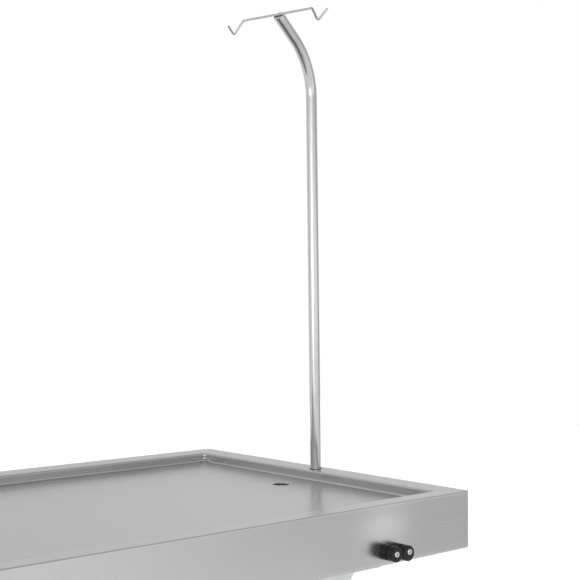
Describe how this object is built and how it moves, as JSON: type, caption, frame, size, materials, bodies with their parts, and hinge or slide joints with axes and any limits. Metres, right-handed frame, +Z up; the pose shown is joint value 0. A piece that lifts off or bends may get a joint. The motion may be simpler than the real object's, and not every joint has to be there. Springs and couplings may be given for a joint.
{
  "type": "veterinary treatment table",
  "caption": "Stainless veterinary table with a shallow drained tray, a drip pole with a hook bar, rope clamps and a foot-pumped scissor lift.",
  "frame": {"origin": "on the floor under the middle of the tray, midway between the outermost clamp screws", "axes": "+X along the tray towards the drip pole, +Y across it to the back, +Z up"},
  "size_m": [1.2, 0.645, 1.5406],
  "materials": {
    "stainless": "brushed satin stainless steel",
    "grey_paint": "light grey powder coat",
    "zinc": "bright zinc plate",
    "black_paint": "black gloss enamel",
    "black_plastic": "moulded black nylon",
    "rubber": "matt black rubber",
    "hard_chrome": "ground hard chrome"
  },
  "bodies": {
    "base": {"base_rail_front": "grey_paint", "base_rail_back": "grey_paint", "base_cross_pole_end": "grey_paint", "base_cross_foot_end": "grey_paint", "ram_cross_member": "grey_paint", "rubber_foot_front_pole_end": "rubber", "rubber_foot_front_foot_end": "rubber", "rubber_foot_back_pole_end": "rubber", "rubber_foot_back_foot_end": "rubber", "lower_pivot_shaft": "zinc", "ram_cylinder": "black_paint", "pump_block": "zinc", "hydraulic_pipe": "zinc"},
    "inner_arms": {"inner_arm_front": "grey_paint", "inner_arm_back": "grey_paint", "lower_torque_tube": "grey_paint", "inner_cross_tube": "grey_paint", "lifting_cam": "grey_paint", "centre_pin_front": "zinc", "centre_pin_back": "zinc"},
    "outer_arms": {"outer_arm_front": "grey_paint", "outer_arm_back": "grey_paint", "upper_torque_tube": "grey_paint", "outer_cross_tube": "grey_paint"},
    "tray": {"table_top": "stainless", "drain_pipe": "stainless", "upper_rail_front": "grey_paint", "upper_rail_back": "grey_paint", "bearer_pole_end": "grey_paint", "bearer_middle": "grey_paint", "bearer_foot_end": "grey_paint", "upper_pivot_shaft": "zinc", "pole_socket": "stainless", "fixed_roller_front_pole_end": "black_plastic", "fixed_roller_front_foot_end": "black_plastic", "fixed_roller_back_pole_end": "black_plastic", "fixed_roller_back_foot_end": "black_plastic", "fixed_screw_front_pole_end": "zinc", "fixed_screw_front_foot_end": "zinc", "fixed_screw_back_pole_end": "zinc", "fixed_screw_back_foot_end": "zinc", "cam_screw_front_pole_end": "zinc", "cam_screw_front_foot_end": "zinc", "cam_screw_back_pole_end": "zinc", "cam_screw_back_foot_end": "zinc"},
    "ram": {"ram_rod": "hard_chrome"},
    "follower": {"cam_follower": "zinc"},
    "bush": {"pole_bush": "black_plastic"},
    "pole": {"drip_pole": "stainless", "hook_bar": "stainless"},
    "pedal": {"pump_pedal": "grey_paint"},
    "plunger": {"pump_plunger": "hard_chrome"},
    "lower_roller_front_body": {"lower_roller_front": "black_plastic"},
    "lower_roller_back_body": {"lower_roller_back": "black_plastic"},
    "upper_roller_front_body": {"upper_roller_front": "black_plastic"},
    "upper_roller_back_body": {"upper_roller_back": "black_plastic"},
    "cam_front_pole_end": {"cam_roller_front_pole_end": "black_plastic"},
    "cam_front_foot_end": {"cam_roller_front_foot_end": "black_plastic"},
    "cam_back_pole_end": {"cam_roller_back_pole_end": "black_plastic"},
    "cam_back_foot_end": {"cam_roller_back_foot_end": "black_plastic"}
  },
  "joints": [
    {"name": "lift", "type": "hinge", "parent": "base", "child": "inner_arms", "pos_m": [0.422, 0, 0.055], "axis": [0, 1, 0], "range_deg": [-46, 6]},
    {"name": "scissor", "type": "hinge", "parent": "inner_arms", "child": "outer_arms", "pos_m": [0.18155, 0, 0.41149], "axis": [0, 1, 0], "range_deg": [-12, 92]},
    {"name": "top_level", "type": "hinge", "parent": "outer_arms", "child": "tray", "pos_m": [0.422, 0, 0.76797], "axis": [0, 1, 0], "range_deg": [-46, 6]},
    {"name": "ram_push", "type": "slide", "parent": "base", "child": "ram", "axis": [1, 0, 0], "range_m": [-0.0563, 0.0074]},
    {"name": "follower_spin", "type": "hinge", "parent": "ram", "child": "follower", "pos_m": [0.38937, 0, 0.125], "axis": [0, 1, 0], "continuous": true},
    {"name": "pole_turn", "type": "hinge", "parent": "tray", "child": "bush", "pos_m": [0.5825, 0, 0.83297], "axis": [-0.0187, -0.0032, 0.9998], "continuous": true},
    {"name": "pole_lift", "type": "slide", "parent": "bush", "child": "pole", "axis": [-0.0187, -0.0032, 0.9998], "range_m": [0, 0.075]},
    {"name": "pedal_press", "type": "hinge", "parent": "base", "child": "pedal", "pos_m": [0.5283, 0.04, 0.112], "axis": [1, 0, 0], "range_deg": [0, 13], "stiffness_Nm_per_rad": 8, "springref_deg": -28.65},
    {"name": "plunger_push", "type": "slide", "parent": "base", "child": "plunger", "axis": [0, 0, 1], "range_m": [-0.0092, 0]},
    {"name": "lower_roller_front_spin", "type": "hinge", "parent": "outer_arms", "child": "lower_roller_front_body", "pos_m": [-0.05891, -0.26, 0.055], "axis": [0, 1, 0], "continuous": true},
    {"name": "upper_roller_front_spin", "type": "hinge", "parent": "inner_arms", "child": "upper_roller_front_body", "pos_m": [-0.05891, -0.26, 0.76797], "axis": [0, 1, 0], "continuous": true},
    {"name": "cam_front_pole_end_turn", "type": "hinge", "parent": "tray", "child": "cam_front_pole_end", "pos_m": [0.4542, -0.3, 0.77077], "axis": [0, 1, 0], "continuous": true},
    {"name": "cam_front_foot_end_turn", "type": "hinge", "parent": "tray", "child": "cam_front_foot_end", "pos_m": [-0.4542, -0.3, 0.77077], "axis": [0, 1, 0], "continuous": true},
    {"name": "lower_roller_back_spin", "type": "hinge", "parent": "outer_arms", "child": "lower_roller_back_body", "pos_m": [-0.05891, 0.26, 0.055], "axis": [0, 1, 0], "continuous": true},
    {"name": "upper_roller_back_spin", "type": "hinge", "parent": "inner_arms", "child": "upper_roller_back_body", "pos_m": [-0.05891, 0.26, 0.76797], "axis": [0, 1, 0], "continuous": true},
    {"name": "cam_back_pole_end_turn", "type": "hinge", "parent": "tray", "child": "cam_back_pole_end", "pos_m": [0.4542, 0.3, 0.77077], "axis": [0, 1, 0], "continuous": true},
    {"name": "cam_back_foot_end_turn", "type": "hinge", "parent": "tray", "child": "cam_back_foot_end", "pos_m": [-0.4542, 0.3, 0.77077], "axis": [0, 1, 0], "continuous": true}
  ],
  "couplings": [
    {"joint": "scissor", "follows": "lift", "ratio": -2},
    {"joint": "top_level", "follows": "lift", "ratio": 1},
    {"joint": "ram_push", "follows": "lift", "m_per_rad": 0.07},
    {"joint": "plunger_push", "follows": "pedal_press", "m_per_rad": -0.04}
  ]
}
